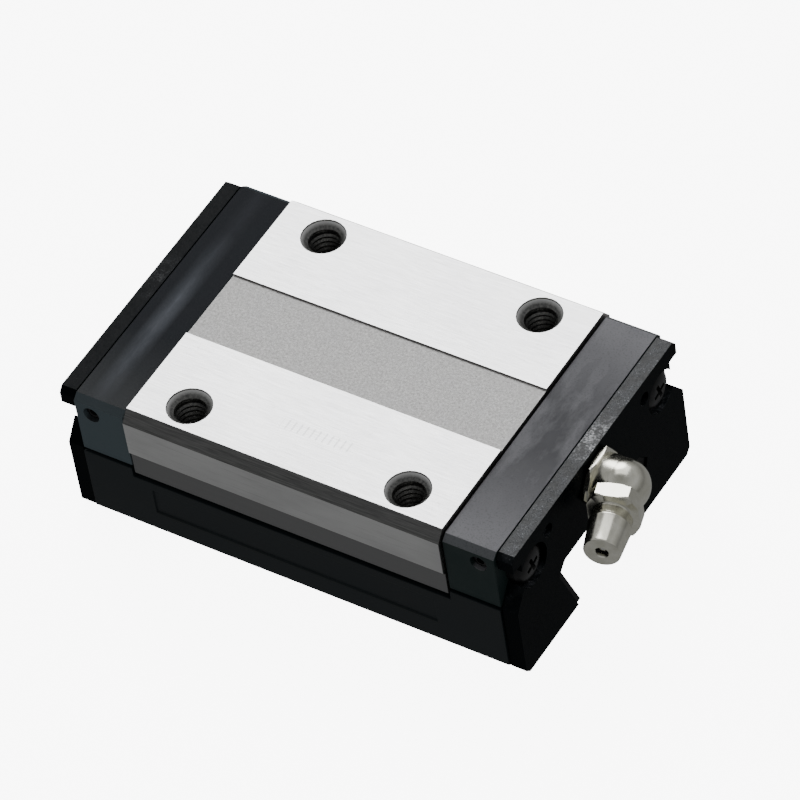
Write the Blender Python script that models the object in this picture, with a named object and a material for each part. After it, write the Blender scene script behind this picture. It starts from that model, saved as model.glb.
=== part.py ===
"""Linear guide carriage, compact square type for a 20 mm rail, as separate solids.

Frame: metres. X runs along the rail, with the grease nipple at +X. Z is up, and Z = 0 is the
underside of the side skirts. The origin is the middle of the whole object's footprint, nipple
included, so the carriage's own middle lies at X = BODY_X.
Upper ball circuits stand in vertical planes. Lower ball circuits lie in one level plane.
"""

from math import cos, pi, radians, sin, sqrt

import bmesh
import bpy
from mathutils import Matrix, Vector

MM = 0.001

# Carriage body
HEIGHT = 22.0 * MM
BLOCK_LENGTH = 46.2 * MM
HALF_WIDTH = 21.0 * MM
CAP_LENGTH = 7.3 * MM
SEAL_THICKNESS = 2.2 * MM
GAP = 0.3 * MM
BODY_X = -4.495 * MM

# Steel block section
PAD_HALF_WIDTH = 19.7 * MM
TOP_CHAMFER_DROP = 1.6 * MM
RECESS_HALF_WIDTH = 5.55 * MM
RECESS_DEPTH = 0.28 * MM
DATUM_FACE_DROP = 7.1 * MM
LOWER_FACE_SET_BACK = 0.4 * MM
SHOULDER_DROP = 11.7 * MM
LEG_HALF_WIDTH = 18.9 * MM
LEG_BOTTOM = 1.0 * MM
CHANNEL_CEILING = 10.5 * MM

# Rail, which the carriage is shaped around but doesn't include
RAIL_TOP = 9.5 * MM
RAIL_HALF_WIDTH = 9.9 * MM
RAIL_NECK_HALF_WIDTH = 7.1 * MM
RAIL_SHOULDER = 8.6 * MM
RAIL_NECK = 1.2 * MM

# Tapped mounting holes, M5
HOLE_X = 16.0 * MM
HOLE_Y = 16.0 * MM
HOLE_RADIUS = 2.1 * MM
HOLE_DEPTH = 8.0 * MM
COUNTERSINK_RADIUS = 3.0 * MM
COUNTERSINK_DEPTH = 0.9 * MM

# Balls and their circuits
BALL_RADIUS = 1.5875 * MM
BALL_PITCH = 3.4 * MM
BALLS_PER_ROW = 14
BALLS_PER_TURN = 3
TURN_RADIUS = BALLS_PER_TURN * BALL_PITCH / pi
TURN_X = BALLS_PER_ROW * BALL_PITCH / 2
TRACK_RADIUS = BALL_RADIUS + 0.26 * MM
UPPER_ROW_Y = 7.6 * MM
UPPER_ROW_Z = 10.4 * MM
LOWER_ROW_Y = 9.6 * MM
LOWER_ROW_Z = 4.9 * MM

# End caps and skirts
CAP_TOP_DROP = 0.6 * MM
CAP_HALF_WIDTH = 20.5 * MM
CAP_SEAM = 11.9 * MM
SKIRT_OUTER = 20.75 * MM
SKIRT_INNER = 19.2 * MM
SKIRT_BEVEL = 1.1 * MM
PORT_X = 28.35 * MM
PORT_Z = 18.95 * MM
PORT_RADIUS = 1.2 * MM

# End seals
NOTCH_TOP = 18.9 * MM
NOTCH_FLOOR = 14.6 * MM
NOTCH_FOOT = 11.7 * MM
NOTCH_HALF_WIDTH = 18.3 * MM
SEAL_HALF_WIDTH = 20.5 * MM
LUG_HALF_WIDTH = 20.1 * MM
SEAL_BOTTOM = 0.1 * MM
LIP_WIDTH = 0.9 * MM
LIP_THICKNESS = 1.3 * MM
LIP_CLEARANCE = 0.1 * MM

# Screws and pins in the ends
SCREW_Y = 15.7 * MM
SCREW_Z = 16.0 * MM
SCREW_HEAD_RADIUS = 2.75 * MM
SCREW_HEAD_HEIGHT = 2.1 * MM
SCREW_SHANK_RADIUS = 1.45 * MM
SCREW_BITE = 4.0 * MM
PIN_Y = 11.9 * MM
PIN_Z = 18.5 * MM
PIN_RADIUS = 0.85 * MM

# Grease nipple
NIPPLE_Y = -0.2 * MM
NIPPLE_Z = 16.6 * MM
NIPPLE_FLATS = 7.3 * MM
NOZZLE_HALF_WIDTH = 3.3 * MM
ELBOW_CORNER = 3.72 * MM
ELBOW_CORNER_RADIUS = 3.5 * MM
ELBOW_LEG_RADIUS = 3.4 * MM
ELBOW_MOUTH_RADIUS = 2.7 * MM
ELBOW_BORE_RADIUS = 1.1 * MM
NOZZLE_ANGLE = radians(74.0)
NOZZLE_START = 2.9 * MM
NOZZLE_LENGTH = 8.15 * MM
GASKET_RADIUS = 3.25 * MM
THREAD_RADIUS = 2.8 * MM
CHECK_BALL_RADIUS = 0.9 * MM

# Places along X, measured from the carriage's own middle
BLOCK_END = BLOCK_LENGTH / 2
CAP_START = BLOCK_END + GAP
CAP_END = CAP_START + CAP_LENGTH
SEAL_START = CAP_END + 0.2 * MM
SEAL_END = SEAL_START + SEAL_THICKNESS

SIDES = {"left": 1.0, "right": -1.0}
ENDS = {"front": 1.0, "rear": -1.0}

COLOURS = {
    "ground_steel": ((0.72, 0.71, 0.70), 0.28, 1.0),
    "bearing_steel": ((0.62, 0.62, 0.63), 0.12, 1.0),
    "spring_steel": ((0.40, 0.40, 0.42), 0.35, 1.0),
    "black_resin": ((0.020, 0.023, 0.026), 0.45, 0.0),
    "dark_resin": ((0.050, 0.052, 0.058), 0.50, 0.0),
    "seal_rubber": ((0.012, 0.012, 0.013), 0.70, 0.0),
    "black_screw": ((0.045, 0.045, 0.047), 0.40, 1.0),
    "nickel": ((0.55, 0.53, 0.49), 0.25, 1.0),
}


def clear_scene():
    for thing in list(bpy.data.objects):
        bpy.data.objects.remove(thing, do_unlink=True)


def principled(name):
    colour, roughness, metallic = COLOURS[name]
    material = bpy.data.materials.get(name) or bpy.data.materials.new(name)
    material.use_nodes = True
    shader = material.node_tree.nodes["Principled BSDF"]
    shader.inputs["Base Color"].default_value = (*colour, 1.0)
    shader.inputs["Roughness"].default_value = roughness
    shader.inputs["Metallic"].default_value = metallic
    return material


def object_from(name, bm, material):
    """A new object from a bmesh, its faces turned outwards. It stands in the carriage's own frame."""
    bmesh.ops.recalc_face_normals(bm, faces=bm.faces)
    mesh = bpy.data.meshes.new(name)
    bm.to_mesh(mesh)
    bm.free()
    thing = bpy.data.objects.new(name, mesh)
    bpy.context.scene.collection.objects.link(thing)
    thing.location.x = BODY_X
    if material:
        mesh.materials.append(principled(material))
    mesh.shade_smooth()
    mesh.set_sharp_from_angle(angle=radians(35))
    return thing


def prism(name, outline, start, end, material=None):
    """A closed outline of (y, z) points, extruded along X."""
    bm = bmesh.new()
    rings = [[bm.verts.new((x, y, z)) for y, z in outline] for x in (start, end)]
    count = len(outline)
    for i in range(count):
        j = (i + 1) % count
        bm.faces.new((rings[0][i], rings[0][j], rings[1][j], rings[1][i]))
    bm.faces.new(rings[0])
    bm.faces.new(rings[1])
    return object_from(name, bm, material)


def box(name, low, high, material=None):
    """A box between two corners, given as (x, y, z)."""
    (x0, y0, z0), (x1, y1, z1) = low, high
    return prism(name, [(y0, z0), (y1, z0), (y1, z1), (y0, z1)], x0, x1, material)


def ring(centre, right, up, radius, sides, corner=None):
    """Points round a circle. With a corner reach, it is a hexagon of that radius to its flats,
    whose two corners along `right` are cut back to the reach."""
    points = []
    for i in range(sides):
        angle = 2 * pi * i / sides
        reach = radius
        if corner:
            reach = radius / cos((angle % (pi / 3)) - pi / 6)
            reach = min(reach, corner / max(abs(cos(angle)), 0.01))
        points.append(centre + right * (reach * cos(angle)) + up * (reach * sin(angle)))
    return points


def loft(name, rings, material=None, hollow=False):
    """Bridges rings of points in order. A hollow one also joins its last ring to its first."""
    bm = bmesh.new()
    loops = [[bm.verts.new(p) for p in points] for points in rings]
    count = len(loops[0])
    pairs = list(zip(loops, loops[1:]))
    if hollow:
        pairs.append((loops[-1], loops[0]))
    for a, b in pairs:
        for i in range(count):
            j = (i + 1) % count
            bm.faces.new((a[i], a[j], b[j], b[i]))
    if not hollow:
        bm.faces.new(loops[0])
        bm.faces.new(loops[-1])
    return object_from(name, bm, material)


def turned(name, origin, axis, profile, sides, material=None, hollow=False):
    """A turned piece from (distance, radius) steps, or (distance, radius, corner reach) for a hexagon."""
    axis = Vector(axis).normalized()
    right = Vector((0, 0, 1)).cross(axis)
    right = right.normalized() if right.length > 0.1 else Vector((1, 0, 0))
    up = axis.cross(right)
    rings = []
    for step in profile:
        centre = Vector(origin) + axis * step[0]
        rings.append(ring(centre, right, up, step[1], sides, step[2] if len(step) > 2 else None))
    return loft(name, rings, material, hollow)


def combine(thing, operation, others):
    """Boolean modifiers on a piece. The other shapes stay as guides."""
    for other in others:
        other.hide_render = True
        other.display_type = "WIRE"
        modifier = thing.modifiers.new(operation.lower() + "_" + other.name, "BOOLEAN")
        modifier.operation = operation
        modifier.solver = "EXACT"
        modifier.object = other
    return thing


def cut(thing, *cutters):
    return combine(thing, "DIFFERENCE", cutters)


def join(thing, *additions):
    return combine(thing, "UNION", additions)


def round_cutter(name, origin, axis, radius, length, sides=16):
    return turned(name, origin, axis, [(0, radius), (length, radius)], sides)


def both_sides(half):
    """A closed outline from its +Y half, which starts and ends on the middle plane."""
    return half + [(-y, z) for y, z in reversed(half) if abs(y) > 1e-9]


def one_side(outline, side):
    return [(side * y, z) for y, z in outline]


def flank_y(z, offset):
    """Half width of the rail's sloping side at a height, moved outwards by offset."""
    dy, dz = RAIL_HALF_WIDTH - RAIL_NECK_HALF_WIDTH, RAIL_SHOULDER - RAIL_NECK
    return RAIL_NECK_HALF_WIDTH + (z - RAIL_NECK) * dy / dz + offset * sqrt(dy * dy + dz * dz) / dz


# The carriage block


def block_outline():
    top, edge = HEIGHT, HALF_WIDTH - LOWER_FACE_SET_BACK
    ceiling = CHANNEL_CEILING
    half = [
        (0.0, top - RECESS_DEPTH),
        (RECESS_HALF_WIDTH, top - RECESS_DEPTH),
        (RECESS_HALF_WIDTH, top),
        (PAD_HALF_WIDTH, top),
        (HALF_WIDTH, top - TOP_CHAMFER_DROP),
        (HALF_WIDTH, top - DATUM_FACE_DROP),
        (edge, top - DATUM_FACE_DROP - 0.5 * MM),
        (edge, top - SHOULDER_DROP + 0.5 * MM),
        (edge - 0.5 * MM, top - SHOULDER_DROP),
        (LEG_HALF_WIDTH, top - SHOULDER_DROP),
        (LEG_HALF_WIDTH, LEG_BOTTOM + 0.5 * MM),
        (LEG_HALF_WIDTH - 0.5 * MM, LEG_BOTTOM),
        (flank_y(LEG_BOTTOM, 1.0 * MM), LEG_BOTTOM),
        (flank_y(RAIL_SHOULDER, 1.0 * MM), RAIL_SHOULDER),
        (RAIL_HALF_WIDTH - 0.4 * MM, ceiling),
        (0.0, ceiling),
    ]
    return both_sides(half)


def circuits():
    """Each ball circuit's load row place, and its direction across to the return row."""
    found = {}
    for side, s in SIDES.items():
        found["upper_" + side] = (Vector((0, s * UPPER_ROW_Y, UPPER_ROW_Z)), Vector((0, 0, 1)))
        found["lower_" + side] = (Vector((0, s * LOWER_ROW_Y, LOWER_ROW_Z)), Vector((0, s, 0)))
    return found


def tapped_hole(name, x, y):
    profile = [
        (-1.0 * MM, COUNTERSINK_RADIUS),
        (0.25 * MM, COUNTERSINK_RADIUS),
        (COUNTERSINK_DEPTH, HOLE_RADIUS),
        (HOLE_DEPTH, HOLE_RADIUS),
        (HOLE_DEPTH + 1.0 * MM, 0.2 * MM),
    ]
    return turned(name, (x, y, HEIGHT), (0, 0, -1), profile, 24)


def carriage_block():
    block = prism("carriage_block", block_outline(), -BLOCK_END, BLOCK_END, "ground_steel")
    cutters = []
    for name, (row, across) in circuits().items():
        for kind, place in (("load", row), ("return", row + across * 2 * TURN_RADIUS)):
            start = Vector((-BLOCK_END - 1 * MM, place.y, place.z))
            length = BLOCK_LENGTH + 2 * MM
            cutters.append(round_cutter(f"{name}_{kind}_way", start, (1, 0, 0), TRACK_RADIUS, length))
    for end, e in ENDS.items():
        for side, s in SIDES.items():
            cutters.append(tapped_hole(f"{end}_{side}_tapped_hole", e * HOLE_X, s * HOLE_Y))
            start = (e * (BLOCK_END + 1 * MM), s * SCREW_Y, SCREW_Z)
            reach, radius = SCREW_BITE + 1.6 * MM, SCREW_SHANK_RADIUS + 0.15 * MM
            cutters.append(round_cutter(f"{end}_{side}_block_thread", start, (-e, 0, 0), radius, reach, 12))
    return cut(block, *cutters)


# Balls, as chains of beads held in their cage belts


def path_point(row, across, stage, s):
    """Centre and in-plane normal on a circuit. s is the arc length from the stage's start."""
    along = Vector((1, 0, 0))
    if stage == "load":
        return row + along * (s - TURN_X), -across
    if stage == "return":
        return row + along * (TURN_X - s) + across * 2 * TURN_RADIUS, across
    start = -pi / 2 if stage == "front_turn" else pi / 2
    centre = row + across * TURN_RADIUS + along * (TURN_X if stage == "front_turn" else -TURN_X)
    angle = start + s / TURN_RADIUS
    normal = along * cos(angle) + across * sin(angle)
    return centre + normal * TURN_RADIUS, normal


def ball_chain(name, row, across, stage, count):
    """Balls at the middle of their cells, joined by the thin links of the cage belt."""
    binormal = Vector((1, 0, 0)).cross(across)
    shape = [(-0.86, 0.51), (-0.32, 0.95), (0.32, 0.95), (0.86, 0.51)]
    rings = []
    for i in range(count):
        middle = (i + 0.5) * BALL_PITCH
        for offset, width in shape:
            centre, normal = path_point(row, across, stage, middle + offset * BALL_RADIUS)
            rings.append(ring(centre, normal, binormal, width * BALL_RADIUS, 6))
    return loft(name, rings, "bearing_steel")


def move_origin(thing, place):
    """Puts an object's origin on its joint's axis and leaves its shape where it was."""
    thing.data.transform(Matrix.Translation(-place))
    thing.location += place


def all_balls():
    for name, (row, across) in circuits().items():
        ball_chain(f"{name}_load_balls", row, across, "load", BALLS_PER_ROW)
        ball_chain(f"{name}_return_balls", row, across, "return", BALLS_PER_ROW)
        for end, e in ENDS.items():
            chain = ball_chain(f"{name}_{end}_turn_balls", row, across, f"{end}_turn", BALLS_PER_TURN)
            move_origin(chain, row + across * TURN_RADIUS + Vector((e * TURN_X, 0, 0)))


# End caps, with their ball turnarounds and return guides


def cap_outline():
    top = HEIGHT - CAP_TOP_DROP
    half = [
        (0.0, top),
        (PAD_HALF_WIDTH - 0.1 * MM, top),
        (CAP_HALF_WIDTH, top - 0.8 * MM),
        (CAP_HALF_WIDTH, CAP_SEAM),
        (LEG_HALF_WIDTH, CAP_SEAM),
        (LEG_HALF_WIDTH, LEG_BOTTOM),
        (flank_y(LEG_BOTTOM, 0.8 * MM), LEG_BOTTOM),
        (flank_y(RAIL_SHOULDER, 0.8 * MM), RAIL_SHOULDER),
        (RAIL_HALF_WIDTH - 0.4 * MM, CHANNEL_CEILING),
        (0.0, CHANNEL_CEILING),
    ]
    return both_sides(half)


def turnaround_cutter(name, row, across, end):
    """The bent tube that carries balls from the load row round to the return row."""
    e = ENDS[end]
    along, binormal = Vector((1, 0, 0)), Vector((1, 0, 0)).cross(across)
    lead = TURN_X - CAP_START + 1.0 * MM
    rings = [ring(row + along * e * (TURN_X - lead), -across, binormal, TRACK_RADIUS, 12)]
    steps = 7
    for i in range(steps + 1):
        angle = -pi / 2 + pi * i / steps
        normal = along * e * cos(angle) + across * sin(angle)
        centre = row + along * e * TURN_X + across * TURN_RADIUS + normal * TURN_RADIUS
        rings.append(ring(centre, normal, binormal, TRACK_RADIUS, 12))
    last = row + along * e * (TURN_X - lead) + across * 2 * TURN_RADIUS
    rings.append(ring(last, across, binormal, TRACK_RADIUS, 12))
    return loft(name, rings)


def guide_outline(radius, flat):
    """Half-round outline about the turn's centre, closed by a flat towards the block."""
    points = [(radius * cos(a), radius * sin(a)) for a in (pi * (i / 8 - 0.5) for i in range(9))]
    return [(-flat, -radius)] + points + [(-flat, radius)]


def half_round(name, row, across, end, radius, flat, half_length, material=None):
    """A half-round bar across a turnaround, its axis square to the circuit's plane."""
    along, binormal = Vector((ENDS[end], 0, 0)), Vector((1, 0, 0)).cross(across)
    centre = row + across * TURN_RADIUS + along * TURN_X
    rings = []
    for b in (-half_length, half_length):
        outline = guide_outline(radius, flat)
        rings.append([centre + along * u + across * w + binormal * b for u, w in outline])
    return loft(name, rings, material)


def end_cap(end):
    e = ENDS[end]
    start, stop = sorted((e * CAP_START, e * CAP_END))
    cap = prism(f"{end}_end_cap", cap_outline(), start, stop, "dark_resin")
    inner = TURN_RADIUS - TRACK_RADIUS
    cutters = []
    for name, (row, across) in circuits().items():
        cutters.append(turnaround_cutter(f"{name}_{end}_turn_way", row, across, end))
        seat = half_round(f"{name}_{end}_guide_seat", row, across, end, inner + 0.05 * MM, 1.2 * MM, 2.5 * MM)
        cutters.append(seat)
        half_round(
            f"{name}_{end}_return_guide", row, across, end, inner - 0.2 * MM, TURN_X - CAP_START - 0.1 * MM,
            2.25 * MM, "black_resin",
        )
    for side, s in SIDES.items():
        port = (e * PORT_X, s * (CAP_HALF_WIDTH + 1 * MM), PORT_Z)
        cutters.append(round_cutter(f"{end}_{side}_port", port, (0, -s, 0), PORT_RADIUS, 4.5 * MM, 14))
        screw = (e * (CAP_START - 1 * MM), s * SCREW_Y, SCREW_Z)
        radius, length = SCREW_SHANK_RADIUS + 0.2 * MM, CAP_LENGTH + 2 * MM
        cutters.append(round_cutter(f"{end}_{side}_screw_way", screw, (e, 0, 0), radius, length, 12))
        pin = (e * (CAP_END + 1 * MM), s * PIN_Y, PIN_Z)
        cutters.append(round_cutter(f"{end}_{side}_pin_seat", pin, (-e, 0, 0), PIN_RADIUS + 0.15 * MM, 4 * MM, 10))
    grease = (e * (CAP_END + 1 * MM), NIPPLE_Y, NIPPLE_Z)
    cutters.append(round_cutter(f"{end}_grease_port", grease, (-e, 0, 0), THREAD_RADIUS + 0.15 * MM, 6.5 * MM, 18))
    return cut(cap, *cutters)


# Skirts, bottom seals and ball retainers


def side_skirt(side):
    """A long resin cover outside the leg. Its ends reach up beside the caps."""
    s = SIDES[side]
    top_middle = HEIGHT - SHOULDER_DROP - 0.3 * MM
    top_end = CAP_SEAM - 0.4 * MM
    outline = [
        (SKIRT_INNER, 0.0),
        (SKIRT_OUTER - SKIRT_BEVEL, 0.0),
        (SKIRT_OUTER, SKIRT_BEVEL),
        (SKIRT_OUTER, top_end),
        (SKIRT_INNER, top_end),
    ]
    skirt = prism(f"{side}_side_skirt", one_side(outline, s), -CAP_END, CAP_END, "black_resin")
    reach = BLOCK_END + 0.3 * MM
    y0, y1 = sorted((s * (SKIRT_INNER - 1 * MM), s * (SKIRT_OUTER + 1 * MM)))
    step = box(f"{side}_skirt_step", (-reach, y0, top_middle), (reach, y1, top_end + 1 * MM))
    y0, y1 = sorted((s * (SKIRT_OUTER - 0.18 * MM), s * (SKIRT_OUTER + 1 * MM)))
    panel = box(f"{side}_skirt_panel", (-20.8 * MM, y0, 4.4 * MM), (20.8 * MM, y1, 8.6 * MM))
    return cut(skirt, step, panel)


def bottom_seal(side):
    s = SIDES[side]
    outline = [
        (RAIL_NECK_HALF_WIDTH + 0.25 * MM, 0.35 * MM),
        (18.4 * MM, 0.15 * MM),
        (18.4 * MM, 0.7 * MM),
        (RAIL_NECK_HALF_WIDTH + 0.9 * MM, 0.7 * MM),
    ]
    return prism(f"{side}_bottom_seal", one_side(outline, s), -CAP_END, CAP_END, "seal_rubber")


def retainers():
    """Thin strips that hold the balls in when the carriage is off its rail."""
    reach = BLOCK_END - 0.4 * MM
    half = [(0.0, 10.2 * MM), (5.6 * MM, 10.2 * MM), (5.6 * MM, 9.75 * MM), (0.0, 9.75 * MM)]
    prism("top_ball_retainer", both_sides(half), -reach, reach, "black_resin")
    for side, s in SIDES.items():
        for name, low, high in (("corner", 6.9 * MM, 8.5 * MM), ("lower", 1.3 * MM, 2.9 * MM)):
            outline = [
                (flank_y(low, 0.3 * MM), low),
                (flank_y(high, 0.3 * MM), high),
                (flank_y(high, 0.75 * MM), high),
                (flank_y(low, 0.75 * MM), low),
            ]
            prism(f"{side}_{name}_ball_retainer", one_side(outline, s), -reach, reach, "black_resin")


# End seals


def seal_outline():
    top, opening = HEIGHT - CAP_TOP_DROP, LIP_WIDTH + LIP_CLEARANCE
    half = [
        (0.0, top),
        (LUG_HALF_WIDTH - 0.7 * MM, top),
        (LUG_HALF_WIDTH, top - 0.8 * MM),
        (LUG_HALF_WIDTH, NOTCH_TOP),
        (NOTCH_HALF_WIDTH, NOTCH_TOP),
        (NOTCH_HALF_WIDTH, NOTCH_FLOOR),
        (SEAL_HALF_WIDTH, NOTCH_FOOT),
        (SEAL_HALF_WIDTH, SEAL_BOTTOM + 0.8 * MM),
        (SEAL_HALF_WIDTH - 0.8 * MM, SEAL_BOTTOM),
        (flank_y(SEAL_BOTTOM, opening), SEAL_BOTTOM),
        (flank_y(RAIL_SHOULDER, opening), RAIL_SHOULDER),
        (RAIL_HALF_WIDTH - 0.8 * MM, RAIL_TOP + opening),
        (0.0, RAIL_TOP + opening),
    ]
    return both_sides(half)


def lip_outline():
    """The rubber lip: a band that follows the rail's outline just clear of it."""
    low = SEAL_BOTTOM
    inner, outer = 0.1 * MM, LIP_WIDTH
    half = [
        (0.0, RAIL_TOP + outer),
        (RAIL_HALF_WIDTH - 0.8 * MM, RAIL_TOP + outer),
        (flank_y(RAIL_SHOULDER, outer), RAIL_SHOULDER),
        (flank_y(low, outer), low),
        (flank_y(low, inner), low),
        (flank_y(RAIL_SHOULDER, inner), RAIL_SHOULDER),
        (RAIL_HALF_WIDTH - 1.2 * MM, RAIL_TOP + inner),
        (0.0, RAIL_TOP + inner),
    ]
    return both_sides(half)


def end_seal(end):
    e = ENDS[end]
    start, stop = sorted((e * SEAL_START, e * SEAL_END))
    plate = prism(f"{end}_seal_plate", seal_outline(), start, stop, "black_resin")
    cutters = []
    for side, s in SIDES.items():
        for name, y, z, radius in (
            ("screw", SCREW_Y, SCREW_Z, SCREW_HEAD_RADIUS + 0.3 * MM),
            ("pin", PIN_Y, PIN_Z, PIN_RADIUS + 0.15 * MM),
        ):
            place = (e * (SEAL_START - 1 * MM), s * y, z)
            length = SEAL_THICKNESS + 2 * MM
            cutters.append(round_cutter(f"{end}_{side}_seal_{name}_hole", place, (e, 0, 0), radius, length, 18))
    port = (e * (SEAL_START - 1 * MM), NIPPLE_Y, NIPPLE_Z)
    radius = GASKET_RADIUS + 0.15 * MM if end == "front" else THREAD_RADIUS + 0.2 * MM
    cutters.append(round_cutter(f"{end}_seal_port", port, (e, 0, 0), radius, SEAL_THICKNESS + 2 * MM, 24))
    cut(plate, *cutters)
    lip_start, lip_stop = sorted((e * (SEAL_END - 0.3 * MM), e * (SEAL_END - 0.3 * MM - LIP_THICKNESS)))
    prism(f"{end}_seal_lip", lip_outline(), lip_start, lip_stop, "seal_rubber")


# Fasteners and plugs


def pan_screw(name, end, side):
    """Round-head screw through the cap into the block, with a blind drive recess."""
    e, s = ENDS[end], SIDES[side]
    seat = CAP_END + 0.1 * MM
    head, radius = SCREW_HEAD_HEIGHT, SCREW_HEAD_RADIUS
    profile = [
        (head - 0.9 * MM, 0.25 * MM),
        (head - 0.1 * MM, 1.0 * MM),
        (head, 1.25 * MM),
        (head - 0.12 * MM, 0.62 * radius),
        (head - 0.5 * MM, 0.88 * radius),
        (head - 1.0 * MM, radius),
        (0.0, radius),
        (0.0, SCREW_SHANK_RADIUS),
        (-(seat - BLOCK_END) - SCREW_BITE + 0.4 * MM, SCREW_SHANK_RADIUS),
        (-(seat - BLOCK_END) - SCREW_BITE, 0.9 * MM),
    ]
    return turned(name, (e * seat, s * SCREW_Y, SCREW_Z), (e, 0, 0), profile, 18, "black_screw")


def socket_plug(name, origin, outward, radius, length):
    """A headless set screw with a hexagon socket."""
    profile = [
        (-1.1 * MM, 0.5 * radius, radius),
        (0.0, 0.5 * radius, radius),
        (0.0, radius - 0.15 * MM),
        (-0.15 * MM, radius),
        (-length, radius),
    ]
    return turned(name, origin, outward, profile, 12, "black_screw")


def fasteners():
    for end, e in ENDS.items():
        for side, s in SIDES.items():
            pan_screw(f"{end}_{side}_end_screw", end, side)
            place = (e * PORT_X, s * (CAP_HALF_WIDTH - 0.5 * MM), PORT_Z)
            socket_plug(f"{end}_{side}_port_plug", place, (0, s, 0), PORT_RADIUS - 0.12 * MM, 2.7 * MM)
            profile = [(0.0, PIN_RADIUS), (4.4 * MM, PIN_RADIUS)]
            place = (e * (SEAL_END - 0.9 * MM), s * PIN_Y, PIN_Z)
            turned(f"{end}_{side}_seal_pin", place, (-e, 0, 0), profile, 10, "black_screw")
    place = (-SEAL_END + 0.7 * MM, NIPPLE_Y, NIPPLE_Z)
    socket_plug("rear_port_plug", place, (-1, 0, 0), THREAD_RADIUS, 6.0 * MM)


# Grease nipple: gasket, elbow, nozzle, check ball and its spring


def nipple_gasket():
    """A sealing bush round the nipple's thread, through the seal plate."""
    inner, length = THREAD_RADIUS + 0.15 * MM, SEAL_END - CAP_END
    profile = [(0.0, GASKET_RADIUS), (length, GASKET_RADIUS), (length, inner), (0.0, inner)]
    place = (CAP_END + 0.1 * MM, NIPPLE_Y, NIPPLE_Z)
    turned("nipple_gasket", place, (1, 0, 0), profile, 24, "seal_rubber", hollow=True)


def elbow_leg(name, axis, profile, material=None):
    """A turned leg of the elbow. Distances are measured from the corner its two legs share."""
    return turned(name, nozzle_place(0.0), axis, profile, 18, material)


def nipple_elbow():
    """Threaded root and hexagon, a ball corner, and the mouth that takes the nozzle."""
    hexagon, seat = NIPPLE_FLATS / 2, 0.2 * MM - ELBOW_CORNER
    root = seat - 5.4 * MM
    profile = [
        (root, THREAD_RADIUS - 0.3 * MM),
        (root + 0.3 * MM, THREAD_RADIUS),
        (seat, THREAD_RADIUS),
        (seat, hexagon, NIPPLE_FLATS),
        (seat + 0.65 * MM, hexagon, NIPPLE_FLATS),
        (seat + 0.75 * MM, ELBOW_LEG_RADIUS),
        (0.0, ELBOW_LEG_RADIUS),
    ]
    elbow = elbow_leg("nipple_elbow", (1, 0, 0), profile, "nickel")
    angles = [pi * (i / 12 - 0.5) for i in range(1, 12)]
    ball = [(ELBOW_CORNER_RADIUS * sin(a), ELBOW_CORNER_RADIUS * cos(a)) for a in angles]
    mouth = NOZZLE_START - 0.3 * MM
    join(
        elbow,
        turned("elbow_corner", nozzle_place(0.0), (0, 0, 1), ball, 24),
        elbow_leg("elbow_mouth", nozzle_axis(), [(0.0, ELBOW_MOUTH_RADIUS), (NOZZLE_START, ELBOW_MOUTH_RADIUS)]),
    )
    bore, socket = ELBOW_BORE_RADIUS, mouth - 0.9 * MM
    cut(
        elbow,
        elbow_leg("elbow_root_bore", (1, 0, 0), [(root - 1.0 * MM, bore), (0.4 * MM, bore)]),
        elbow_leg("elbow_mouth_bore", nozzle_axis(), [(-0.4 * MM, bore), (socket + 0.2 * MM, bore)]),
        elbow_leg("elbow_socket", nozzle_axis(), [(socket, 2.0 * MM), (mouth + 0.6 * MM, 2.0 * MM)]),
        elbow_leg("elbow_face", nozzle_axis(), [(mouth, 4.2 * MM), (mouth + 1.5 * MM, 4.2 * MM)]),
    )


def nozzle_place(distance):
    """A point on the nozzle's axis, at a distance from the elbow's corner."""
    corner = Vector((SEAL_END + ELBOW_CORNER, NIPPLE_Y, NIPPLE_Z))
    return corner + Vector((cos(NOZZLE_ANGLE), -sin(NOZZLE_ANGLE), 0)) * distance


def nozzle_axis():
    return Vector((cos(NOZZLE_ANGLE), -sin(NOZZLE_ANGLE), 0))


def nipple_nozzle():
    """Hexagon, neck, flared coupling head and flat nose, bored for the check valve."""
    hexagon, end = NIPPLE_FLATS / 2, NOZZLE_LENGTH
    profile = [
        (-1.0 * MM, 1.7 * MM),
        (0.0, 1.7 * MM),
        (0.0, hexagon, NOZZLE_HALF_WIDTH),
        (2.1 * MM, hexagon, NOZZLE_HALF_WIDTH),
        (2.25 * MM, 2.5 * MM),
        (3.1 * MM, 2.5 * MM),
        (3.8 * MM, 2.8 * MM),
        (4.4 * MM, 2.8 * MM),
        (end - 0.3 * MM, 2.4 * MM),
        (end, 2.25 * MM),
        (end, 0.8 * MM),
        (end - 0.5 * MM, 0.8 * MM),
        (end - 1.0 * MM, 1.15 * MM),
        (1.2 * MM, 1.15 * MM),
        (1.2 * MM, 0.6 * MM),
        (-1.0 * MM, 0.6 * MM),
    ]
    turned("nipple_nozzle", nozzle_place(NOZZLE_START), nozzle_axis(), profile, 18, "nickel", hollow=True)


def check_ball():
    radius = CHECK_BALL_RADIUS
    centre = nozzle_place(NOZZLE_START + NOZZLE_LENGTH - 1.45 * MM)
    angles = [pi * (i / 6 - 0.5) for i in range(1, 6)]
    profile = [(radius * sin(a), radius * cos(a)) for a in angles]
    ball = turned("nipple_check_ball", centre, nozzle_axis(), profile, 12, "bearing_steel")
    move_origin(ball, centre)


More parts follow.
